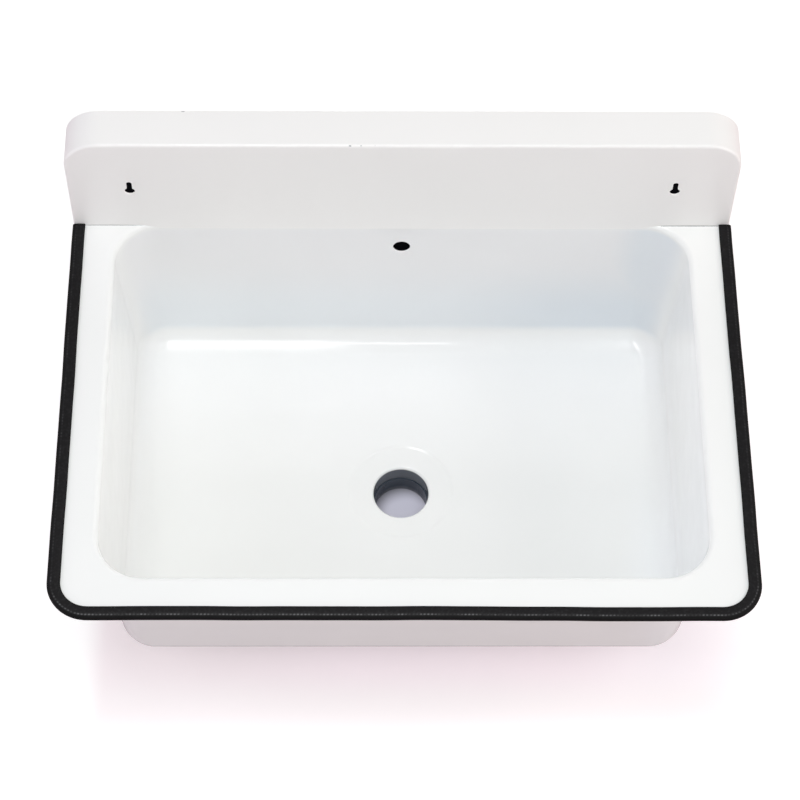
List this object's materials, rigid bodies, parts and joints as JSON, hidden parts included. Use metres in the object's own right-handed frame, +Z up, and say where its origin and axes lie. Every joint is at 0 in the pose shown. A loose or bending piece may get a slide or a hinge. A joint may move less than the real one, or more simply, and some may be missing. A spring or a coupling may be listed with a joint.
{
  "type": "bucket sink",
  "caption": "Wall-hung enamelled steel bucket sink with a deep bowl, flat rim in black edge trim, raised backsplash with keyholes, overflow hole and drain spigot.",
  "frame": {"origin": "midway between the round parts of the two keyholes, on the front face of the backsplash", "axes": "+X to the right as seen by the user, +Y back to the wall, +Z up"},
  "size_m": [0.6, 0.4355, 0.333],
  "materials": {
    "white_enamel": "glossy white vitreous enamel on pressed steel",
    "ground_enamel": "glossy blue-black ground-coat enamel",
    "black_trim": "satin black soft extrusion",
    "clip_steel": "bare pressed strip"
  },
  "bodies": {
    "root": {"bowl": "white_enamel", "backsplash": "white_enamel", "waste_spigot": "ground_enamel", "edge_trim": "black_trim", "trim_core": "clip_steel"}
  },
  "joints": []
}
